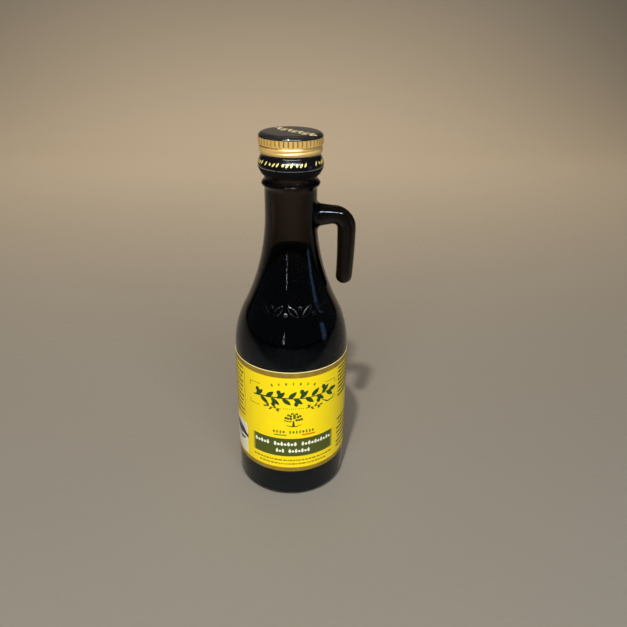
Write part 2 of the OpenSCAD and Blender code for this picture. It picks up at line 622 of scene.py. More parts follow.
def ring(radius: float | np.ndarray, z: float | np.ndarray, columns: int) -> np.ndarray:
    """Returns the points of a level ring round the axis.

    Args:
        radius: One radius, or one for each column.
        z: One height, or one for each column.
        columns: How many points.

    Returns:
        The ring's points, from +X towards +Y.
    """
    turn = turns(columns)
    return np.column_stack((radius * np.cos(turn), radius * np.sin(turn), z + np.zeros(columns)))


def seat(piece: bpy.types.Object, slot: Slot, *nodes: str) -> bpy.types.Object:
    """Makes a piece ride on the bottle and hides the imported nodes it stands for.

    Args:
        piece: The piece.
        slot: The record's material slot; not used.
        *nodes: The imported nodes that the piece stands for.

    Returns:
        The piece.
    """
    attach(piece, BODY)
    if nodes:
        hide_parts(*nodes)
    log.info("%s: %d faces", piece.name, len(piece.data.polygons))
    return piece


# ---------------------------------------------------------------- the bottle's form


@dataclass(frozen=True)
class BottleForm:
    """The glass's outline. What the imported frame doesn't tell is a field with its own value."""

    body_r: float
    mouth_z: float
    wall_t: float
    oil_level: float
    grip_x: float
    wall_h: float = 83.0
    heel_r: float = 2.5
    base_t: float = 6.5
    punt_h: float = 2.6
    foot_w: float = 3.2
    shoulder_h: float = 75.0
    shoulder_share: float = 0.33
    neck_r: float = 13.0
    neck_h: float = 11.7
    bead_h: float = 5.0
    bead_out: float = 1.45

    @classmethod
    def from_frame(cls) -> BottleForm:
        """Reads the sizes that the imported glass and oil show.

        Returns:
            The form.
        """
        glass_low, glass_high = (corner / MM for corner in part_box("glass_bottle"))
        oil_low, oil_high = (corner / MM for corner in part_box("oil"))
        return cls(
            body_r=-glass_low.x,
            mouth_z=glass_high.z,
            wall_t=oil_low.x - glass_low.x,
            oil_level=oil_high.z,
            grip_x=glass_high.x,
        )

    @property
    def neck_z(self) -> float:
        """Height where the shoulder ends."""
        return self.wall_h + self.shoulder_h

    @property
    def bead_z(self) -> float:
        """Height of the transfer bead's lower edge."""
        return self.neck_z + self.neck_h

    @property
    def slope(self) -> float:
        """Steepest lean of the shoulder, in radians."""
        return 2.0 * math.atan((self.body_r - self.neck_r) / self.shoulder_h)

    @property
    def out_r(self) -> float:
        """Radius of the shoulder's outward arc."""
        return self.shoulder_share * self.shoulder_h / math.sin(self.slope)

    @property
    def in_r(self) -> float:
        """Radius of the shoulder's inward arc."""
        return (1.0 - self.shoulder_share) * self.shoulder_h / math.sin(self.slope)

    def radius(self, z: np.ndarray | float, inset: float = 0.0) -> np.ndarray:
        """Returns the radius of the wall, shoulder and neck.

        Args:
            z: Heights.
            inset: How far inside the outer face, 0 for that face itself.

        Returns:
            The radius at each height.
        """
        z = np.asarray(z, float)
        rise = np.clip(z - self.wall_h, 0.0, None)
        drop = np.clip(self.neck_z - z, 0.0, None)
        middle = self.wall_h + (self.out_r - inset) * math.sin(self.slope)
        bulge = np.sqrt(np.clip((self.out_r - inset) ** 2 - rise**2, 0, None))
        sweep = np.sqrt(np.clip((self.in_r + inset) ** 2 - drop**2, 0, None))
        bulge, sweep = self.body_r - self.out_r + bulge, self.neck_r + self.in_r - sweep
        return np.where(z < middle, bulge, sweep)

    def outside(self, z: np.ndarray | float) -> np.ndarray:
        """Returns the outer radius with the transfer bead.

        Args:
            z: Heights.

        Returns:
            The radius at each height.
        """
        share = np.clip((np.asarray(z, float) - self.bead_z) / self.bead_h, 0.0, 1.0)
        return self.radius(z) + self.bead_out * np.sin(np.pi * share) ** 2

    def hollow(self, top: float, reach: float, step: float = 3.0) -> list[Point2]:
        """Returns the hollow's outline from the axis at the floor up to a height.

        Args:
            top: Height where the outline ends.
            reach: How far the outline lies inside the glass.
            step: Longest rise between two points.

        Returns:
            Radius and height of each point, without the one on the axis.
        """
        corner_r = self.heel_r + self.wall_t
        wall_r = self.body_r - self.wall_t + reach
        floor_r = wall_r - corner_r
        dome = [
            (floor_r * s, self.base_t - reach + self.punt_h * math.cos(math.pi / 2 * s) ** 2)
            for s in np.linspace(0.12, 1.0, 8)
        ]
        corner = [
            (floor_r + corner_r * math.sin(a), self.base_t - reach + corner_r * (1 - math.cos(a)))
            for a in np.linspace(0.2, math.pi / 2, 8)
        ]
        heights = np.arange(corner[-1][1] + step, top - step / 2, step)
        wall = [(float(self.radius(z, self.wall_t)) + reach, float(z)) for z in heights]
        return dome + corner + wall + [(float(self.radius(top, self.wall_t)) + reach, top)]


@dataclass
class LeafRelief:
    """A band of raised leaves and olives pressed into the shoulder's glass."""

    middle_z: float = 112.4
    height: float = 0.14
    pitch: float = 7.4
    leaf_half: float = 3.7
    leaf_width: float = 1.45
    lean: float = 0.78
    olive_r: float = 1.0
    half_span: float = 20.0
    half_high: float = 4.6
    soft: float = 0.3
    olive_soft: float = 0.35
    olive_drop: float = 1.5
    outline: Point2 = (0.04, 0.96)

    def sides(self, turn: np.ndarray, base: float, z: float) -> list[np.ndarray]:
        """Returns how far the glass stands out round one row.

        Args:
            turn: Angle of each column, from +X.
            base: The row's radius.
            z: The row's height.

        Returns:
            The raise at each column, once for the front band and once for the back one.
        """
        raised = []
        for middle in (-np.pi / 2, np.pi / 2):
            away = (turn - middle + np.pi) % FULL_TURN - np.pi
            raised.append(self.depth(away * base, np.array(z - self.middle_z)))
        return raised

    def depth(self, along: np.ndarray, up: np.ndarray) -> np.ndarray:
        """Returns how far the glass stands out.

        Args:
            along: Distance round the bottle from the middle of the band.
            up: Height above the middle of the band.

        Returns:
            The raise at each point.
        """
        best = np.zeros(np.broadcast(along, up).shape)
        count = int(self.half_span / self.pitch)
        for k in range(-count, count + 1):
            lean = self.lean if k % 2 else math.pi - self.lean
            x, y = along - k * self.pitch, up
            length = (x * math.cos(lean) + y * math.sin(lean)) / self.leaf_half
            across = np.abs(-x * math.sin(lean) + y * math.cos(lean))
            width = self.leaf_width * np.clip(1.0 - length**2, 1e-3, None)
            inside = np.where(np.abs(length) < 1.0, 1.0 - across / width, 0.0)
            best = np.maximum(best, smooth_step(0.0, self.soft, inside))
            drop = self.olive_drop if k % 2 else -self.olive_drop
            olive = np.hypot(along - (k + 0.5) * self.pitch, up + drop) / self.olive_r
            best = np.maximum(best, smooth_step(0.0, self.olive_soft, 1.0 - olive))
        return self.height * best


@dataclass
class HookHandle:
    """The hook handle: an arm out of the neck, a bend and a grip with a round tip."""

    form: BottleForm
    arm_drop: float = 14.0
    grip_h: float = 37.5
    root_half: Point2 = (5.5, 4.9)
    bend_half: Point2 = (4.75, 4.4)
    tip_half: Point2 = (4.3, 4.15)
    bend_r: float = 7.4
    fillet: float = 2.8
    curl: float = 0.5
    patch_half: float = 9.2

    @property
    def arm_z(self) -> float:
        """Height of the arm's centre line."""
        return self.form.bead_z - self.arm_drop

    def stations(self) -> list[tuple[float, float, float, float, float, float]]:
        """Returns the sections along the handle after its root fillet.

        Returns:
            For each section its centre x and z, its turn from level, its half height and half
            depth, and how much of the root's curved face it still follows.
        """
        reach = self.form.grip_x - self.bend_half[0]
        bend_x, bend_z = reach - self.bend_r, self.arm_z - self.bend_r
        start_x = self.form.neck_r + self.fillet
        rows = []
        for s in np.linspace(0.0, 1.0, 7)[1:]:
            high, deep = (mix(a, b, s) for a, b in zip(self.root_half, self.bend_half))
            rows.append((mix(start_x, bend_x, s), self.arm_z, 0.0, high, deep, (1 - s) ** 2))
        for turn in np.linspace(0.0, math.pi / 2, 15)[1:]:
            x, z = bend_x + self.bend_r * math.sin(turn), bend_z + self.bend_r * math.cos(turn)
            rows.append((x, z, turn, *self.bend_half, 0.0))
        tip_r = self.tip_half[0]
        end_z = self.arm_z - self.grip_h + tip_r
        for s in np.linspace(0.0, 1.0, 14)[1:]:
            high, deep = (mix(a, b, s) for a, b in zip(self.bend_half, self.tip_half))
            x = reach - self.curl * s**3
            rows.append((x, mix(bend_z, end_z, s), math.pi / 2, high, deep, 0.0))
        for lat in np.linspace(0.0, math.pi / 2, 9)[1:-1]:
            shrink = math.cos(lat)
            x, z = reach - self.curl, end_z - tip_r * math.sin(lat)
            rows.append((x, z, math.pi / 2, self.tip_half[0] * shrink, self.tip_half[1] * shrink, 0.0))
        return rows

    def build(self, draft: Draft, loop: np.ndarray, edge: np.ndarray) -> None:
        """Grows the handle out of an opening in the neck's grid.

        Args:
            draft: The glass's draft.
            loop: Numbers of the points round the opening.
            edge: Those points' x, y and z.
        """
        angle = np.arctan2(edge[:, 2] - self.arm_z, edge[:, 1])
        half_z, half_y = self.root_half
        foot_y = (half_y + self.fillet) * np.cos(angle)
        foot_z = self.arm_z + (half_z + self.fillet) * np.sin(angle)
        last = loop
        for s in np.linspace(0.0, 1.0, 6)[1:]:
            y, z = mix(edge[:, 1], foot_y, s), mix(edge[:, 2], foot_z, s)
            last = self.join(draft, last, np.sqrt(self.form.radius(z) ** 2 - y**2), y, z)
        for lift in np.linspace(0.0, math.pi / 2, 9)[1:]:
            spare, out = self.fillet * (1 - math.sin(lift)), self.fillet * (1 - math.cos(lift))
            y = (half_y + spare) * np.cos(angle)
            z = self.arm_z + (half_z + spare) * np.sin(angle)
            x = np.sqrt(self.form.radius(z) ** 2 - y**2) + out
            last = self.join(draft, last, x, y, z)
        bow = x - (self.form.neck_r + self.fillet)
        for cx, cz, turn, high, deep, follow in self.stations():
            rise = high * np.sin(angle)
            x = cx + rise * math.sin(turn) + bow * follow
            last = self.join(draft, last, x, deep * np.cos(angle), cz + rise * math.cos(turn))
        tip_x, tip_z = self.stations()[-1][0], self.arm_z - self.grip_h
        draft.fan((tip_x, 0.0, tip_z), last)

    @staticmethod
    def join(draft: Draft, last: np.ndarray, x: np.ndarray, y: np.ndarray, z: np.ndarray) -> np.ndarray:
        """Adds one section and joins it to the one before.

        Args:
            draft: The glass's draft.
            last: Numbers of the last section's points.
            x: The new section's x.
            y: The new section's y.
            z: The new section's z.

        Returns:
            Numbers of the new section's points.
        """
        new = draft.add(np.column_stack((x, y, z)))
        draft.bridge(last, new)
        return new


@dataclass
class GlassBottle:
    """The bottle's glass in one piece, with its hollow, bead, mouth and handle."""

    form: BottleForm
    columns: int = 384
    patch_columns: int = 44
    fine_step: float = 0.38
    handle_step: float = 0.74
    plain_step: float = 1.8
    ripple: float = 0.06
    seam: float = 0.07
    seam_half: float = 0.35
    above_bead: float = 1.2
    cap_ring_drop: float = 13.7
    under_cap: tuple[Point2, ...] = ((0.0, -2.7), (2.1, -0.7), (2.1, 0.7), (0.45, 3.5), (1.2, 5.9))
    lip_out: float = 0.2
    lip_r: float = 1.0
    calm_neck: float = 12.0
    calm_body: Point2 = (40.0, 110.0)
    waves: tuple[tuple[float, int, float], ...] = ((1.0, 5, 0.6), (0.6, 9, 2.1), (0.4, 14, 0.0))
    relief: LeafRelief = field(default_factory=LeafRelief)

    def finish_outline(self) -> list[Point2]:
        """Returns the outline under the cap, from the neck over the mouth's lip.

        Returns:
            Radius and height of each point.
        """
        neck, top = self.form.neck_r, self.form.mouth_z
        outline = [(neck + out, top - self.cap_ring_drop + up) for out, up in self.under_cap]
        outline.append((neck + self.lip_out + self.lip_r, top - self.lip_r))
        for a in np.linspace(0.3, math.pi / 2, 5):
            across, rise = self.lip_r * math.cos(a), self.lip_r * math.sin(a)
            outline.append((neck + self.lip_out + across, top - self.lip_r + rise))
        return outline

    def heights(self, handle: HookHandle) -> list[float]:
        """Returns the heights of the rows from the heel to above the bead.

        Args:
            handle: The handle, whose root needs closer rows.

        Returns:
            Heights, rising.
        """
        form, relief = self.form, self.relief
        low, high = relief.middle_z - relief.half_high, relief.middle_z + relief.half_high
        root_low, root_high = handle.arm_z - handle.patch_half, handle.arm_z + handle.patch_half
        parts = [
            np.linspace(form.heel_r, form.wall_h, 9)[1:],
            np.linspace(form.wall_h, low, 17)[1:],
            np.arange(low, high, self.fine_step)[1:],
            np.arange(high, root_low, self.plain_step),
            np.linspace(root_low, root_high, int(2 * handle.patch_half / self.handle_step) + 1),
            np.linspace(root_high, form.bead_z, 4)[1:],
            form.bead_z + np.linspace(0.0, form.bead_h, 19)[1:],
            [form.bead_z + form.bead_h + self.above_bead],
        ]
        return [float(z) for part in parts for z in part]

    def row_radius(self, z: float) -> np.ndarray:
        """Returns the outer radius round one row, with relief and mould seam.

        Args:
            z: The row's height.

        Returns:
            One radius for each column.
        """
        turn = turns(self.columns)
        base = float(self.form.outside(z))
        radius = base + self.seam * np.exp(-(((turn - np.pi) * base / self.seam_half) ** 2))
        for raised in self.relief.sides(turn, base, z):
            radius = radius + raised
        return radius

    def build(self) -> bpy.types.Object:
        """Makes the glass.

        Returns:
            The piece.
        """
        form, draft, handle = self.form, Draft(), HookHandle(self.form)
        last = self.foot(draft)
        rows = self.heights(handle)
        numbers = []
        inside = [abs(z - handle.arm_z) <= handle.patch_half + ROUND_OFF for z in rows]
        half = self.patch_columns
        opening = frozenset([*range(half), *range(self.columns - half, self.columns)])
        for k, z in enumerate(rows):
            new = draft.add(ring(self.row_radius(z), z, self.columns))
            within = k > 0 and inside[k] and inside[k - 1]
            zone = self.pressed_zone((rows[k - 1] + z) / 2.0) if k else 0
            draft.bridge(last, new, zone, skip=opening if within else frozenset())
            numbers.append(new)
            last = new
        patch = [numbers[k] for k in range(len(rows)) if inside[k]]
        patch_z = [rows[k] for k in range(len(rows)) if inside[k]]
        self.open_patch(draft, handle, patch, patch_z)
        self.inside(draft, draft.lathe(last, self.finish_outline()))
        piece = draft.build("glass_body", [BOTTLE_GLASS, PRESSED_GLASS], sharp_deg=70.0)
        return seat(piece, Slot.GLASS, "glass_bottle")

    def pressed_zone(self, z: float) -> Callable[[int], int] | int:
        """Finds the finish of each column at a height: duller along the relief's outlines.

        Args:
            z: The height.

        Returns:
            A slot number for each column, or one for the whole row.
        """
        relief = self.relief
        if abs(z - relief.middle_z) > relief.half_high:
            return 0
        low, high = relief.outline
        edges = np.zeros(self.columns, bool)
        for raised in relief.sides(turns(self.columns, 0.5), float(self.form.outside(z)), z):
            edges |= (raised / relief.height > low) & (raised / relief.height < high)
        return lambda column: int(edges[column])

    def foot(self, draft: Draft) -> np.ndarray:
        """Makes the push-up, the ring that the bottle stands on and the heel.

        Args:
            draft: The glass's draft.

        Returns:
            The heel's last row.
        """
        form = self.form
        dome_r = form.body_r - form.heel_r - form.foot_w
        outline = [
            (dome_r * s, form.punt_h * math.cos(math.pi / 2 * s) ** 2)
            for s in np.linspace(0.1, 1.0, 10)
        ]
        outline += [
            (form.body_r - form.heel_r + form.heel_r * math.sin(a), form.heel_r * (1 - math.cos(a)))
            for a in np.linspace(0.0, math.pi / 2, 8)
        ]
        first = draft.add(ring(*outline[0], self.columns))
        draft.fan((0.0, 0.0, form.punt_h), first)
        return draft.lathe(first, outline[1:])

    def open_patch(
        self, draft: Draft, handle: HookHandle, patch: list[np.ndarray], heights: list[float]
    ) -> None:
        """Walks round the opening in the grid and grows the handle from it.

        Args:
            draft: The glass's draft.
            handle: The handle.
            patch: The rows of points that the opening crosses.
            heights: Those rows' heights.
        """
        half, top = self.patch_columns, len(patch) - 1
        walk = [(0, c) for c in range(-half, half + 1)]
        walk += [(row, half) for row in range(1, top + 1)]
        walk += [(top, c) for c in range(half - 1, -half - 1, -1)]
        walk += [(row, -half) for row in range(top - 1, 0, -1)]
        loop = np.array([patch[row][c % self.columns] for row, c in walk])
        turn = np.array([c * FULL_TURN / self.columns for _, c in walk])
        z = np.array([heights[row] for row, _ in walk])
        r = self.form.outside(z)
        handle.build(draft, loop, np.column_stack((r * np.cos(turn), r * np.sin(turn), z)))

    def inside(self, draft: Draft, last: np.ndarray) -> None:
        """Makes the hollow from the mouth down, with the blown glass's soft ripple.

        Args:
            draft: The glass's draft.
            last: The lip's last row.
        """
        form, turn = self.form, turns(self.columns)
        wave = sum(size * np.sin(count * turn + start) for size, count, start in self.waves)
        outline = []
        for r, z in reversed(form.hollow(form.mouth_z, 0.0)):
            calm = smooth_step(form.mouth_z, form.mouth_z - self.calm_neck, z)
            outline.append((r + self.ripple * wave * calm * smooth_step(*self.calm_body, z), z))
        draft.fan((0.0, 0.0, form.base_t + form.punt_h), draft.lathe(last, outline))


@dataclass
class Oil:
    """The oil up to its level, which reaches just into the glass on every side."""

    form: BottleForm
    columns: int = 160
    reach: float = 0.3
    meniscus: float = 0.2
    meniscus_w: float = 0.9
    near_edge: tuple[float, ...] = (0.3, 0.6, 1.0, 1.6, 2.4, 3.6)
    far_shares: Point2 = (0.6, 0.85)

    def build(self) -> bpy.types.Object:
        """Makes the oil.

        Returns:
            The piece.
        """
        form, draft = self.form, Draft()
        outline = form.hollow(form.oil_level, self.reach)
        edge_r = outline[-1][0]
        surface = [
            (edge_r - d, form.oil_level - self.meniscus * (1 - math.exp(-(d / self.meniscus_w))))
            for d in (*self.near_edge, *(edge_r * share for share in self.far_shares))
        ]
        first = draft.add(ring(*outline[0], self.columns))
        draft.fan((0.0, 0.0, form.base_t - self.reach + form.punt_h), first)
        last = draft.lathe(first, outline[1:] + surface)
        draft.fan((0.0, 0.0, form.oil_level - self.meniscus), last)
        return seat(draft.build("oil_filling", [OLIVE_OIL], sharp_deg=60.0), Slot.OIL, "oil")


# ---------------------------------------------------------------- print


@dataclass(frozen=True)
class Row:
    """A level row of marks: its two ends, the height of its middle and its marks' height."""

    left: float
    right: float
    middle: float
    high: float


@dataclass
class Shape:
    """A flat printed shape: pairs of points, left and right, along its length."""

    left: np.ndarray
    right: np.ndarray

    @property
    def across(self) -> int:
        """How many points each pair is drawn with, so that a wide shape follows the curve."""
        width = float(np.linalg.norm(self.left - self.right, axis=1).max())
        return 2 + int(width / 1.1)


class Nib:
    """Draws the print's simple shapes in flat millimetres."""

    POINT = 0.04
    DASH, DASH_GAP, LAST_DASH = (0.7, 2.3), (0.35, 0.6), 0.5
    BEAD_PITCH = 1.75
    SWAY, LEAF_LEAN, END_LEAF, OVAL = 0.012, 42, 0.9, 1.25
    STEM_ENDS, SIDE_STARTS, OLIVE_AT = (0.34, 0.16), {1: 0.25, -1: 0.7}, (0.18, 0.62)

    @staticmethod
    def stroke(points: Sequence[Point2], widths: Sequence[float], step: float = 0.7) -> Shape:
        """Draws a line of changing width.

        Args:
            points: Points along the line's middle.
            widths: Width at each point.
            step: Longest distance between two pairs.

        Returns:
            The shape.
        """
        path = np.array(points, float)
        lengths = np.concatenate(([0.0], np.cumsum(np.linalg.norm(np.diff(path, axis=0), axis=1))))
        count = max(2, int(lengths[-1] / step) + 2)
        where = np.unique(np.concatenate((np.linspace(0.0, lengths[-1], count), lengths)))
        line = np.column_stack([np.interp(where, lengths, path[:, k]) for k in range(2)])
        wide = np.interp(where, lengths, np.array(widths, float))
        ahead = np.gradient(line, axis=0)
        ahead /= np.linalg.norm(ahead, axis=1, keepdims=True) + 1e-12
        side = np.column_stack((-ahead[:, 1], ahead[:, 0])) * wide[:, None] / 2.0
        return Shape(line + side, line - side)

    @classmethod
    def bar(cls, left: float, right: float, low: float, high: float) -> Shape:
        """Draws a level bar between two sides and two heights."""
        middle = (low + high) / 2.0
        return cls.stroke([(left, middle), (right, middle)], [high - low] * 2)

    @classmethod
    def leaf(cls, x: float, y: float, lean_deg: float, length: float, width: float) -> Shape:
        """Draws a pointed leaf that starts at a point.

        Args:
            x: Where it starts, along.
            y: Where it starts, up.
            lean_deg: Its direction, anticlockwise from level.
            length: Its length.
            width: Its greatest width.

        Returns:
            The shape.
        """
        lean = math.radians(lean_deg)
        shares = np.linspace(0.0, 1.0, 9)
        points = [(x + math.cos(lean) * length * s, y + math.sin(lean) * length * s) for s in shares]
        swell = [math.sin(math.pi * s**0.85) ** 0.8 if 0 < s < 1 else 0.0 for s in shares]
        return cls.stroke(points, [width * share + cls.POINT for share in swell])

    @classmethod
    def dot(cls, x: float, y: float, radius: float, tall: float = 1.0) -> Shape:
        """Draws a round or oval dot.

        Args:
            x: Its middle, along.
            y: Its middle, up.
            radius: Its half width.
            tall: Its height over its width.

        Returns:
            The shape.
        """
        lats = np.linspace(-math.pi / 2, math.pi / 2, 9)
        points = [(x, y + radius * tall * math.sin(a)) for a in lats]
        return cls.stroke(points, [2 * radius * max(math.cos(a), cls.POINT) for a in lats], step=9.0)

    @classmethod
    def sprig(cls, start: Point2, end: Point2, pairs: int, leaf: Point2, olive: float) -> list[Shape]:
        """Draws an olive sprig: a stem with leaves and olives on alternate sides.

        Args:
            start: The stem's foot.
            end: The stem's end.
            pairs: How many leaves on each side.
            leaf: A leaf's length and width.
            olive: An olive's radius.

        Returns:
            The shapes.
        """
        stem = np.array(end, float) - np.array(start, float)
        heading = math.degrees(math.atan2(stem[1], stem[0]))
        size = float(np.hypot(*stem))
        normal = np.array([-stem[1], stem[0]]) / size
        curve = []
        for s in np.linspace(0.0, 1.0, 13):
            sway = cls.SWAY * size * math.sin(2.0 * math.pi * s)
            curve.append(tuple(np.array(start) + stem * s + normal * sway))
        foot_w, end_w = (leaf[1] * share for share in cls.STEM_ENDS)
        shapes = [cls.stroke(curve, np.linspace(foot_w, end_w, len(curve)))]
        for k in range(pairs):
            for side in (1, -1):
                foot = np.array(start) + stem * (k + cls.SIDE_STARTS[side]) / pairs
                shapes.append(cls.leaf(*foot, heading + side * cls.LEAF_LEAN, *leaf))
                on, out = cls.OLIVE_AT
                berry = foot + stem / size * leaf[0] * on + normal * side * leaf[0] * out
                if (k + (side > 0)) % 2:
                    shapes.append(cls.dot(*berry, olive, cls.OVAL))
        shapes.append(cls.leaf(*end, heading, leaf[0] * cls.END_LEAF, leaf[1]))
        return shapes

    @classmethod
    def dashes(cls, row: Row, seed: int) -> list[Shape]:
        """Draws a row of short dashes of uneven length, which stands for a line of fine print.

        Args:
            row: The row.
            seed: Number that sets the dashes' lengths.

        Returns:
            The shapes.
        """
        draw = random.Random(seed)
        low, high = row.middle - row.high / 2, row.middle + row.high / 2
        shapes, x = [], row.left
        while x < row.right - cls.LAST_DASH:
            end = min(x + draw.uniform(*cls.DASH), row.right)
            shapes.append(cls.bar(x, end, low, high))
            x = end + draw.uniform(*cls.DASH_GAP)
        return shapes

    @classmethod
    def beads(cls, row: Row) -> list[Shape]:
        """Draws a row of upright leaves and round beads in turn.

        Args:
            row: The row.

        Returns:
            The shapes.
        """
        count = max(2, round((row.right - row.left) / cls.BEAD_PITCH))
        pitch = (row.right - row.left) / count
        shapes = []
        for k in range(count):
            x = row.left + pitch * (k + 0.5)
            if k % 2:
                shapes.append(cls.dot(x, row.middle - row.high * 0.12, pitch * 0.42, 1.05))
            else:
                shapes.append(cls.leaf(x, row.middle - row.high / 2, 90.0, row.high, pitch * 0.8))
        return shapes


@dataclass
class Print:
    """One ink: thin raised shapes on a surface, from below it to just above it."""

    name: str
    finish: Finish
    slot: Slot
    place: Callable[[np.ndarray, np.ndarray, float], np.ndarray]
    low: float = -0.04
    high: float = 0.03

    def build(self, shapes: Iterable[Shape]) -> bpy.types.Object:
        """Makes the ink's mesh.

        Args:
            shapes: What the ink shows.

        Returns:
            The piece.
        """
        draft = Draft()
        for shape in shapes:
            self.raise_shape(draft, shape)
        return seat(draft.build(self.name, [self.finish], sharp_deg=30.0), self.slot)

    def raise_shape(self, draft: Draft, shape: Shape) -> None:
        """Makes one shape as a thin closed slab.

        Args:
            draft: The ink's draft.
            shape: The flat shape.
        """
        count, across = len(shape.left), shape.across
        share = np.linspace(0.0, 1.0, across)[None, :, None]
        flat = shape.left[:, None, :] * (1 - share) + shape.right[:, None, :] * share
        along, up = flat[..., 0].ravel(), flat[..., 1].ravel()
        layers = []
        for lift in (self.low, self.high):
            numbers = draft.add(self.place(along, up, lift)).reshape(count, across)
            layers.append(numbers)
            for k in range(count - 1):
                draft.bridge(numbers[k], numbers[k + 1], closed=False)
        rim = [
            np.concatenate((n[0, :], n[1:, -1], n[-1, -2::-1], n[-2:0:-1, 0])) for n in layers
        ]
        draft.bridge(rim[0], rim[1])


# ---------------------------------------------------------------- label


@dataclass
class Label:
    """The yellow wrap label with its borders, ornaments and fields."""

    low_z: float
    high_z: float
    outer_r: float
    glass_r: float
    gap: float = 3.0
    paper_drop: float = 0.07
    columns: int = 240
    lip: float = 0.03
    trim: float = 0.1
    foil_top: float = 3.4
    foil_foot: float = 2.7
    # Depth below the top edge of the painted edge highlight's lower side, where the gold foil also ends.
    edge_highlight: float = 0.35
    edge_highlight_trim: float = 0.08
    hair: float = 0.28
    field_bar: Bar = (-25.2, 25.2, 28.0, 40.0)
    panel: Bar = (-43.5, -29.4, 20.9, 41.0)
    leaf_bar: Bar = (-10.7, -3.8, 42.0, 42.7)
    red_bars: tuple[Bar, ...] = ((4.5, 11.9, 42.0, 42.7), (-31.5, -28.6, 33.4, 34.6))
    corners: tuple[Bar, ...] = (
        (18.0, 72.7, 25.0, 72.5), (25.0, 72.5, 25.0, 69.8), (25.0, 61.6, 25.0, 59.2),
    )
    field_rows: tuple[Row, ...] = (
        Row(-22.6, -13.4, 36.4, 2.9), Row(-11.0, 1.9, 36.4, 2.9), Row(4.2, 22.4, 36.4, 2.9),
        Row(-9.9, -5.0, 31.8, 2.9), Row(-2.9, 9.2, 31.8, 2.9),
    )

    @classmethod
    def from_frame(cls) -> Label:
        """Reads the label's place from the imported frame.

        Returns:
            The label.
        """
        low, high = (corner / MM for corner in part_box("label"))
        glass, _ = (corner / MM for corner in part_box("glass_bottle"))
        return cls(low.z, high.z, -low.x, -glass.x)

    @property
    def paper_r(self) -> float:
        """Radius of the paper's outer face."""
        return self.outer_r - self.paper_drop

    @property
    def half_round(self) -> float:
        """Distance round the bottle from the front to one end of the label."""
        return math.pi * self.glass_r - self.gap / 2.0

    def wrap(self, along: np.ndarray, up: np.ndarray, lift: float) -> np.ndarray:
        """Puts flat points on the label's curve.

        Args:
            along: Distance round the bottle from the middle of the front.
            up: Heights.
            lift: Height above the paper.

        Returns:
            The points.
        """
        return around(self.paper_r + lift, along / self.glass_r, up)

    def build(self) -> None:
        """Makes the paper and each ink."""
        self.paper()
        end = self.half_round - self.trim
        top, foot = self.high_z, self.low_z
        foil = [
            Nib.bar(-end, end, top - self.foil_top, top - self.edge_highlight),
            Nib.bar(-end, end, foot + self.trim, foot + self.foil_foot),
        ]
        cream = [shape for row in self.field_rows for shape in Nib.beads(row)]
        # The thin cream strip just under the top edge is partly the paper's white edge and partly a
        # painted highlight where that edge catches light.
        cream += [Nib.bar(*self.panel), Nib.bar(-end, end, top - self.edge_highlight, top - self.edge_highlight_trim)]
        self.ink("label_gold_borders", FOIL_BORDER, foil)
        self.ink("label_green_branch", GREEN_INK, self.branches() + self.crown())
        self.ink("label_olive_marks", OLIVE_INK, self.small_marks())
        self.ink("label_green_field", BANNER_INK, [Nib.bar(*self.field_bar)], high=0.022)
        self.ink("label_cream_marks", CREAM_INK, cream, high=0.045)
        self.ink("label_fine_rows", FINE_INK, self.fine_rows())
        self.ink("label_dark_rows", DARK_INK, self.side_rows())
        self.ink("label_red_lines", RED_INK, [Nib.bar(*bar) for bar in self.red_bars])
        self.ink("label_leaf_line", LEAF_INK, [Nib.bar(*self.leaf_bar)])
        self.ink("label_violet_ribbon", VIOLET_INK, self.ribbon(), high=0.06)

    def ink(self, name: str, finish: Finish, shapes: list[Shape], high: float = 0.03) -> None:
        """Prints one ink on the paper.

        Args:
            name: The piece's name.
            finish: Its finish.
            shapes: What it shows.
            high: How far it stands above the paper.
        """
        Print(name, finish, Slot.LABEL, self.wrap, high=high).build(shapes)

    def paper(self) -> bpy.types.Object:
        """Makes the paper as a thin curved sheet with two ends at the back.

        Returns:
            The piece.
        """
        draft, lip = Draft(), self.lip
        turn = np.linspace(-self.half_round, self.half_round, self.columns) / self.glass_r
        outline = [
            (self.glass_r - lip, self.low_z), (self.paper_r - lip, self.low_z),
            (self.paper_r, self.low_z + lip),
            *[(self.paper_r, z) for z in np.linspace(self.low_z, self.high_z, 14)[1:-1]],
            (self.paper_r, self.high_z - lip), (self.paper_r - lip, self.high_z),
            (self.glass_r - lip, self.high_z),
        ]
        rows = [draft.add(around(r, turn, z)) for r, z in outline]
        for k, row in enumerate(rows):
            draft.bridge(row, rows[(k + 1) % len(rows)], closed=False)
        for end in (0, -1):
            draft.face([row[end] for row in rows])
        return seat(draft.build("label_sheet", [COATED_PAPER], sharp_deg=30.0), Slot.LABEL, "label")

    @staticmethod
    def branches() -> list[Shape]:
        """Draws the big olive branch, the curl at its end and the small sprigs.

        Returns:
            The shapes.
        """
        shapes = Nib.sprig((-22.5, 65.2), (20.5, 67.0), 7, (6.0, 2.5), 1.15)
        curl = [(16.0, 62.6), (19.5, 60.2), (23.0, 60.4), (25.0, 62.6)]
        shapes.append(Nib.stroke(curl, [0.3, 0.8, 0.6, 0.2]))
        for side in (-1, 1):
            shapes += Nib.sprig((side * 6.6, 59.4), (side * 14.4, 59.8), 2, (2.5, 0.95), 0.42)
        return shapes

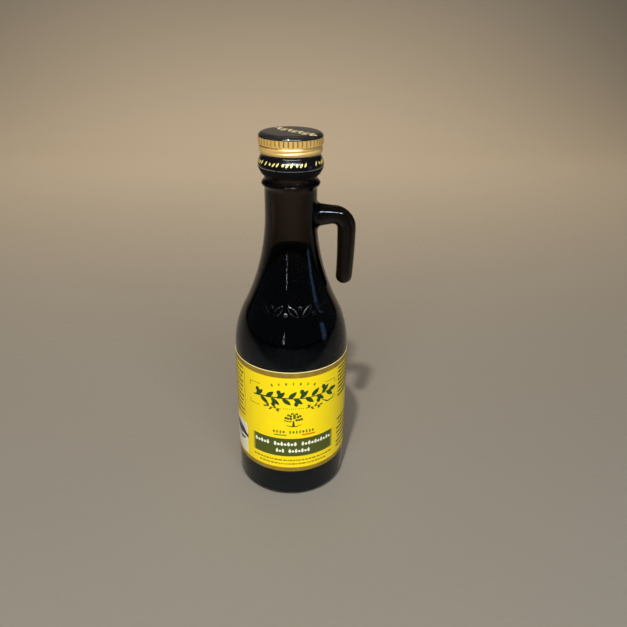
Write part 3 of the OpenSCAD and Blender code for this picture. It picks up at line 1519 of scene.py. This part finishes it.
    @staticmethod
    def crown() -> list[Shape]:
        """Draws a fan of leaves over a short stem.

        Returns:
            The shapes.
        """
        ground = [(-4.2, 49.2), (-1.5, 48.2), (1.5, 48.2), (4.2, 49.2)]
        shapes = [Nib.stroke([(0.0, 48.0), (0.0, 52.0)], [1.5, 0.6])]
        shapes.append(Nib.stroke(ground, [0.2, 0.5, 0.5, 0.2]))
        middle_z, flat, spread, tilt, leaf_w = 52.2, 0.94, 210.0, 16, 0.68
        for tier, (count, reach, size) in enumerate(((7, 1.0, 1.7), (11, 2.4, 1.7), (13, 3.8, 1.5))):
            for k in range(count):
                lean = 90.0 + (k - (count - 1) / 2) * (spread / (count - 1 + tier))
                angle = math.radians(lean)
                foot = (reach * math.cos(angle), middle_z + reach * flat * math.sin(angle))
                shapes.append(Nib.leaf(*foot, lean + tilt * (-1) ** k, size, leaf_w))
        return shapes

    def small_marks(self) -> list[Shape]:
        """Draws the arched row of leaves, the corner lines and the row over the field.

        Returns:
            The shapes.
        """
        shapes = []
        arch_z, arch_drop, pitch, high = 75.2, 1.6, 3.7, 1.9
        for k in range(-3, 4):
            foot_z = arch_z - arch_drop * (k / 3) ** 2 - 0.9
            shapes.append(Nib.leaf(k * pitch, foot_z, 90.0 - 6 * k, high, 0.95 if k % 2 else 0.6))
        lines = [
            ((side * x1, z1), (side * x2, z2)) for side in (-1, 1) for x1, z1, x2, z2 in self.corners
        ]
        lines.append(((-25.0, 59.2), (-18.8, 59.2)))
        shapes += [Nib.stroke(line, [self.hair, self.hair]) for line in lines]
        shapes += [Nib.dot(k * 1.05, 59.6, 0.26) for k in range(-5, 6)]
        pitch, middle_z, high, gap = 1.78, 44.5, 2.5, -2
        for k in range(-6, 7):
            if k != gap and k % 3:
                shapes.append(Nib.leaf(k * pitch, middle_z - high / 2, 90.0, high, 0.8))
            elif k != gap:
                shapes.append(Nib.dot(k * pitch, middle_z, 0.62, 1.25))
        return shapes

    @staticmethod
    def fine_rows() -> list[Shape]:
        """Draws the rows of dashes below the field and at the back.

        Returns:
            The shapes.
        """
        shapes = Nib.dashes(Row(-23.6, 23.6, 25.2, 0.9), 11)
        shapes += Nib.dashes(Row(-19.8, 20.0, 22.7, 0.9), 12)
        shapes.append(Nib.stroke([(-30.4, 77.0), (-30.4, 46.5)], [0.25, 0.25]))
        for k, z in enumerate(np.arange(74.0, 24.0, -2.4)):
            shapes += Nib.dashes(Row(-91.0, -54.0 - 7.0 * (k % 5 == 4), float(z), 0.8), 40 + k)
            if k < 8 or k > 12:
                shapes += Nib.dashes(Row(56.0, 91.0 - 9.0 * (k % 4 == 3), float(z), 0.8), 80 + k)
        return shapes

    @staticmethod
    def side_rows() -> list[Shape]:
        """Draws the dark rows at both sides of the front.

        Returns:
            The shapes.
        """
        shapes: list[Shape] = []
        for k, z in enumerate(np.arange(76.4, 45.5, -3.0)):
            shapes += Nib.dashes(Row(-46.5, -31.6 - 1.8 * (k % 3 == 2), float(z), 1.15), 120 + k)
        for k, z in enumerate(np.arange(76.8, 57.0, -2.5)):
            shapes += Nib.dashes(Row(28.2, 48.0 - 3.0 * (k % 4 == 3), float(z), 1.35), 160 + k)
        for k, z in enumerate(np.arange(43.0, 23.0, -3.1)):
            shapes += Nib.dashes(Row(28.4 + 1.5 * (k % 3 == 1), 46.0, float(z), 1.3), 200 + k)
        return shapes

    @staticmethod
    def ribbon() -> list[Shape]:
        """Draws the violet ribbon on the cream panel.

        Returns:
            The shapes.
        """
        upper = [(-43.4, 37.0), (-39.0, 34.8), (-34.0, 34.6), (-28.6, 32.4)]
        lower = [(-41.0, 30.0), (-36.0, 29.2), (-31.6, 30.2)]
        return [Nib.stroke(upper, [2.6, 6.4, 5.0, 1.0]), Nib.stroke(lower, [0.6, 2.2, 0.8])]


# ---------------------------------------------------------------- cap


class CapZone(IntEnum):
    """The finishes on the cap, in the order of its mesh's slots."""

    TOP = 0
    GOLD = 1
    BAND = 2
    BARE = 3
    # Painted shade in the bottoms of the knurl's grooves.
    PAINTED_GROOVE_SHADE = 4
    TUCK = 5


@dataclass
class ScrewCap:
    """The rolled-on cap: rounded top, knurl, rolled thread, tear line and tucked-in band."""

    low_z: float
    high_z: float
    band_r: float
    flutes: int = 45
    columns: int = 540
    wall: float = 0.6
    top_wall: float = 1.2
    print_room: float = 0.03
    tuck_r: float = 14.2
    lock_h: float = 4.5
    hollow_h: float = 9.2
    waist_r: float = 14.3
    knurl_low: float = 14.1
    knurl_high: float = 17.4
    knurl_r: float = 15.54
    knurl_foot: tuple[float, ...] = (0.02, 0.12, 0.24, 0.38)
    knurl_even: float = 0.6
    edge: Point2 = (2.6, 1.97)
    flute_depth: float = 0.42
    gold_low: float = 10.1
    groove_start: float = 11.5
    groove_rise: float = 3.2
    groove_depth: float = 0.34
    groove_half: float = 0.42
    slit_z: float = 3.6
    slit_h: float = 0.28
    bridges: int = 7
    bridge_share: float = 0.06
    bridge_shift: float = 0.32
    top_shares: tuple[float, ...] = (0.92, 0.7, 0.4, 0.1)
    groove_shade_share: float = 0.13
    slit_depth: float = 0.12
    slit_edge: float = 0.06
    flute_ends: Point2 = (0.35, 0.3)
    sleeve_z: tuple[float, ...] = (9.2, 9.7, 10.4, 11.3, 12.2, 13.1, 13.8, 14.1)
    sleeve_r: tuple[float, ...] = (14.3, 14.62, 15.02, 15.28, 15.22, 15.1, 14.78, 14.7)
    lining_top: float = 13.0
    lining_z: tuple[float, ...] = (1.5, 3.0, 6.5, 11.3, 14.0)
    print_sink: float = 0.1
    print_groups: tuple[tuple[int, int], ...] = (
        (-88, -60), (-52, 22), (45, 70), (95, 128), (136, 210), (232, 258),
    )
    print_pitch_deg: float = 8.2

    @classmethod
    def from_frame(cls) -> ScrewCap:
        """Reads the cap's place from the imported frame.

        Returns:
            The cap.
        """
        low, high = (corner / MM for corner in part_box("closure"))
        return cls(low.z, high.z, (high.x - low.x) / 2.0)

    def plain_radius(self, z: np.ndarray | float) -> np.ndarray:
        """Returns the turned outline's radius, without flutes and grooves.

        Args:
            z: Heights above the cap's lower edge.

        Returns:
            The radius at each height.
        """
        z = np.asarray(z, float)
        rise = np.clip(z / self.lock_h, 0, 1)
        low = mix(self.tuck_r, self.band_r, np.sin(np.pi / 2 * rise))
        share = np.clip((z - self.lock_h) / (self.hollow_h - self.lock_h), 0, 1)
        high = mix(self.waist_r, self.band_r, np.cos(np.pi / 2 * share))
        sleeve = np.interp(z, self.sleeve_z, self.sleeve_r)
        return np.where(z < self.lock_h, low, np.where(z < self.hollow_h, high, sleeve))

    def outer(self, z: float, turn: np.ndarray) -> np.ndarray:
        """Returns the radius round one row, with flutes, thread groove and tear line.

        Args:
            z: Height above the cap's lower edge.
            turn: Angles of the columns, from +X.

        Returns:
            One radius for each column.
        """
        if z >= self.knurl_low + ROUND_OFF:
            foot, head = self.flute_ends
            ends = smooth_step(self.knurl_low, self.knurl_low + foot, z)
            ends = ends * smooth_step(self.knurl_high, self.knurl_high - head, z)
            notch = np.clip(np.cos(self.flutes * turn), 0.0, 1.0) ** 4
            return self.knurl_r - self.flute_depth * notch * ends
        radius = self.plain_radius(z) + np.zeros(len(turn))
        if z > self.gold_low:
            onward = (turn + np.pi / 2 + np.pi / 4) % FULL_TURN
            groove_z = self.groove_start + self.groove_rise * onward / FULL_TURN
            dip = np.exp(-(((z - groove_z) / self.groove_half) ** 2)) * smooth_step(0.0, 0.5, onward)
            radius = radius - self.groove_depth * dip
        if self.slit_z - ROUND_OFF <= z <= self.slit_z + self.slit_h + ROUND_OFF:
            radius = radius - self.slit_depth
        return radius

    def rows(self) -> list[tuple[float, CapZone]]:
        """Returns the heights of the side's rows and the finish above each.

        Returns:
            Height above the lower edge and zone, from the bottom.
        """
        slit_top = self.slit_z + self.slit_h
        band = [*np.linspace(0.0, self.slit_z - self.slit_edge, 13), self.slit_z]
        above = [slit_top, *np.linspace(slit_top + self.slit_edge, self.gold_low, 24)]
        gold = [*np.linspace(self.gold_low, self.knurl_low, 22)[1:]]
        knurl = [*(self.knurl_low + np.array(self.knurl_foot))]
        knurl += [*np.linspace(self.knurl_low + self.knurl_even, self.knurl_high, 10)]
        rows = [(z, CapZone.TUCK) for z in band[:-1]] + [(band[-1], CapZone.BARE)]
        rows += [(z, CapZone.BAND) for z in above[:-1]] + [(above[-1], CapZone.GOLD)]
        rows += [(z, CapZone.GOLD) for z in [*gold, knurl[0]]]
        rows += [(z, CapZone.PAINTED_GROOVE_SHADE) for z in knurl[1:-2]]
        rows += [(knurl[-2], CapZone.GOLD), (knurl[-1], CapZone.TOP)]
        return rows

    def slit_zone(self, column: int) -> int:
        """Returns the tear line's finish at a column: bare metal, or band on a bridge."""
        share = (column / self.columns * self.bridges + self.bridge_shift) % 1.0
        return CapZone.BAND if share < self.bridge_share else CapZone.BARE

    def knurl_zone(self, column: int) -> int:
        """Returns the knurl's finish at a column: painted shade, a darker duller gold, in the bottom of
        each groove.
        """
        share = ((column + 0.5) / self.columns * self.flutes + 0.5) % 1.0
        return CapZone.PAINTED_GROOVE_SHADE if abs(share - 0.5) < self.groove_shade_share else CapZone.GOLD

    def build(self) -> None:
        """Makes the cap and its gold print."""
        draft = Draft()
        turn = turns(self.columns)
        height = self.high_z - self.low_z - self.print_room
        inner = draft.add(ring(self.tuck_r - self.wall, self.low_z, self.columns))
        last, zone = inner, CapZone.TUCK
        changing = {CapZone.BARE: self.slit_zone, CapZone.PAINTED_GROOVE_SHADE: self.knurl_zone}
        for z, above in self.rows():
            new = draft.add(ring(self.outer(z, turn), self.low_z + z, self.columns))
            draft.bridge(last, new, changing.get(zone, zone))
            last, zone = new, above
        across, tall = self.edge
        top = self.low_z + height
        over = [
            (self.knurl_r - across * (1 - math.cos(a)), top - tall * (1 - math.sin(a)))
            for a in np.linspace(0.0, math.pi / 2, 11)[1:]
        ]
        over += [((self.knurl_r - across) * share, top) for share in self.top_shares]
        draft.fan((0.0, 0.0, top), draft.lathe(last, over, CapZone.TOP), CapZone.TOP)
        self.lining(draft, inner)
        finishes = [BLACK_TOP, GOLD_LACQUER, BLACK_BAND, BARE_METAL, GOLD_GROOVE_SHADE, TUCKED_BAND]
        piece = draft.build("cap_shell", finishes, sharp_deg=50.0)
        seat(piece, Slot.CAP, "closure")
        sprig = Nib.sprig((-7.2, 9.6), (9.6, -9.4), 7, (3.3, 1.35), 0.75)
        for name, finish, place, high, shapes in (
            ("cap_band_print", GOLD_PRINT, self.on_band, 0.04, self.band_marks()),
            ("cap_top_print", PALE_GOLD, self.on_top, self.print_room, sprig),
        ):
            Print(name, finish, Slot.CAP, place, high=high, low=-self.print_sink).build(shapes)

    def lining(self, draft: Draft, last: np.ndarray) -> None:
        """Makes the cap's inner face.

        Args:
            draft: The cap's draft.
            last: The inner ring at the lower edge.
        """
        top = self.high_z - self.low_z - self.top_wall
        outline = [
            (float(self.plain_radius(min(z, self.lining_top))) - self.wall, self.low_z + z)
            for z in sorted((*self.lining_z, self.lock_h, self.hollow_h, top))
        ]
        last = draft.lathe(last, outline, CapZone.BARE)
        draft.fan((0.0, 0.0, self.low_z + top), last, CapZone.BARE)

    def on_band(self, along: np.ndarray, up: np.ndarray, lift: float) -> np.ndarray:
        """Puts flat points on the band.

        Args:
            along: Distance round the cap from the front.
            up: Heights above the cap's lower edge.
            lift: Height above the lacquer.

        Returns:
            The points.
        """
        return around(self.plain_radius(up) + lift, along / self.band_r, self.low_z + up)

    def on_top(self, along: np.ndarray, up: np.ndarray, lift: float) -> np.ndarray:
        """Puts flat points on the cap's top, at a height above its lacquer."""
        return np.column_stack((along, up, np.full(len(along), self.high_z - self.print_room + lift)))

    def band_marks(self) -> list[Shape]:
        """Draws leaves and dots for the band, in groups with gaps.

        Returns:
            The shapes.
        """
        shapes = []
        dot_z, dot_r, leaf_z, leaf_size, leaf_w = 6.5, 0.54, 5.6, 2.3, 0.9
        for first, last in self.print_groups:
            for k, angle in enumerate(np.arange(first, last, self.print_pitch_deg)):
                x = math.radians(float(angle)) * self.band_r
                if k % 3 == 1:
                    shapes.append(Nib.dot(x + leaf_w, dot_z, dot_r, 1.2))
                else:
                    shapes.append(Nib.leaf(x, leaf_z, 48.0 if k % 3 else 60.0, leaf_size, leaf_w))
        return shapes


# ---------------------------------------------------------------- studio


@dataclass
class Studio:
    """Pale floor, soft light and camera. Lengths are in metres.

    Each lamp has a name, its degrees to the right of the front and above level, its distance
    from the bottle's middle, its size, its power in watts and its colour.
    """

    camera_at: tuple[float, float, float] = (-0.0097, -0.2898, 0.2463)
    turn: float = 0.0749
    pitch: float = 0.466
    roll: float = 0.016
    lens: float = 34.45
    sensor: float = 36.0
    lamps: tuple[tuple[str, Point2, float, Point2, float, Colour], ...] = (
        ("key", (-15.0, 57.0), 1.0, (0.04, 0.04), 8.5, (1.0, 0.96, 0.88)),
        ("front", (2.0, 36.0), 1.2, (1.3, 0.15), 12.5, (0.88, 0.95, 1.0)),
        ("streak", (-17.0, 6.0), 1.2, (0.022, 0.30), 0.14, (1.0, 0.97, 0.93)),
        ("cool_side", (68.0, 4.0), 1.0, (0.18, 0.30), 0.13, (0.42, 0.60, 1.0)),
    )
    backdrop_at: tuple[float, float, float] = (0.0, 0.72, 1.2)
    backdrop_aim: tuple[float, float, float] = (0.0, 0.9, 0.0)
    backdrop_size: Point2 = (1.6, 0.3)
    backdrop_power: float = 9.5
    backdrop_colour: Colour = (1.0, 0.84, 0.62)
    backdrop_spread: float = 88.0
    sky_colour: Colour = (0.9, 0.93, 1.0)
    sky_strength: float = 0.05

    def build(self) -> None:
        """Makes the stage, the lights and the camera."""
        self.floor()
        low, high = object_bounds()
        middle = (low + high) / 2.0
        for name, towards, distance, size, power, colour in self.lamps:
            side, up = (math.radians(v) for v in towards)
            away = Vector((math.sin(side) * math.cos(up), -math.cos(side) * math.cos(up), math.sin(up)))
            self.soft_box(name, middle + away * distance, away, size, power, colour)
        place = Vector(self.backdrop_at)
        away = place - Vector(self.backdrop_aim)
        look = (self.backdrop_size, self.backdrop_power, self.backdrop_colour)
        backdrop = self.soft_box("backdrop", place, away, *look)
        backdrop.spread = math.radians(self.backdrop_spread)
        self.sky()
        self.camera()
        bpy.context.scene.view_settings.view_transform = "Standard"

    def floor(self) -> None:
        """Makes one sheet that is flat under the bottle and curves up far behind it."""
        front, back, curve_r, wall = -2.0, 0.9, 0.6, 1.6
        line = [(front + (back - front) * s, 0.0) for s in np.linspace(0.0, 1.0, 8)]
        line += [
            (back + curve_r * math.sin(a), curve_r * (1 - math.cos(a)))
            for a in np.linspace(0.0, math.pi / 2, 24)[1:]
        ]
        line.append((back + curve_r, curve_r + wall))
        across = (-2.6, -1.0, 0.0, 1.0, 2.6)
        wide = len(across)
        points = [(x, y, z) for y, z in line for x in across]
        starts = [row * wide + k for row in range(len(line) - 1) for k in range(wide - 1)]
        mesh = bpy.data.meshes.new("studio_floor")
        mesh.from_pydata(points, [], [(k, k + 1, k + wide + 1, k + wide) for k in starts])
        mesh.materials.append(FLOOR_PAPER.material())
        mesh.polygons.foreach_set("use_smooth", [True] * len(mesh.polygons))
        show("studio_floor", mesh)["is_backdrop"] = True

    @staticmethod
    def soft_box(
        name: str, place: Vector, away: Vector, size: Point2, power: float, colour: Colour
    ) -> bpy.types.Light:
        """Makes a soft box.

        Args:
            name: The lamp's name.
            place: Where it hangs.
            away: The direction from what it lights to the lamp.
            size: Its width and height.
            power: Its power in watts.
            colour: Its colour.

        Returns:
            The lamp's data.
        """
        data = bpy.data.lights.new(name, "AREA")
        data.shape = "RECTANGLE"
        data.size, data.size_y = size
        data.energy = power
        data.color = colour
        lamp = show(name, data)
        lamp.location = place
        lamp.rotation_mode = "QUATERNION"
        lamp.rotation_quaternion = away.to_track_quat("Z", "Y")
        return data

    def sky(self) -> None:
        """Sets a dim even surrounding."""
        world = bpy.data.worlds.new("surrounding")
        world.use_nodes = True
        inputs = world.node_tree.nodes["Background"].inputs
        inputs["Color"].default_value = (*self.sky_colour, 1.0)
        inputs["Strength"].default_value = self.sky_strength
        bpy.context.scene.world = world

    def camera(self) -> None:
        """Makes the camera from its place and its three turns."""
        data = bpy.data.cameras.new("camera")
        data.lens, data.sensor_width = self.lens, self.sensor
        data.clip_start, data.clip_end = 0.01, 20.0
        camera = show("camera", data)
        ahead = Vector((
            math.sin(self.turn) * math.cos(self.pitch),
            math.cos(self.turn) * math.cos(self.pitch),
            -math.sin(self.pitch),
        ))
        level = Vector((math.cos(self.turn), -math.sin(self.turn), 0.0))
        above = level.cross(ahead)
        right = level * math.cos(self.roll) + above * math.sin(self.roll)
        up = above * math.cos(self.roll) - level * math.sin(self.roll)
        axes = Matrix((right, up, -ahead)).transposed()
        camera.matrix_world = Matrix.Translation(self.camera_at) @ axes.to_4x4()
        bpy.context.scene.camera = camera


def main() -> None:
    """Builds the bottle's pieces in order, then the studio."""
    logging.basicConfig(level=logging.INFO, format="%(name)s %(message)s")
    form = BottleForm.from_frame()
    GlassBottle(form).build()
    Oil(form).build()
    ScrewCap.from_frame().build()
    Label.from_frame().build()
    Studio().build()


if __name__ == "__main__":
    main()
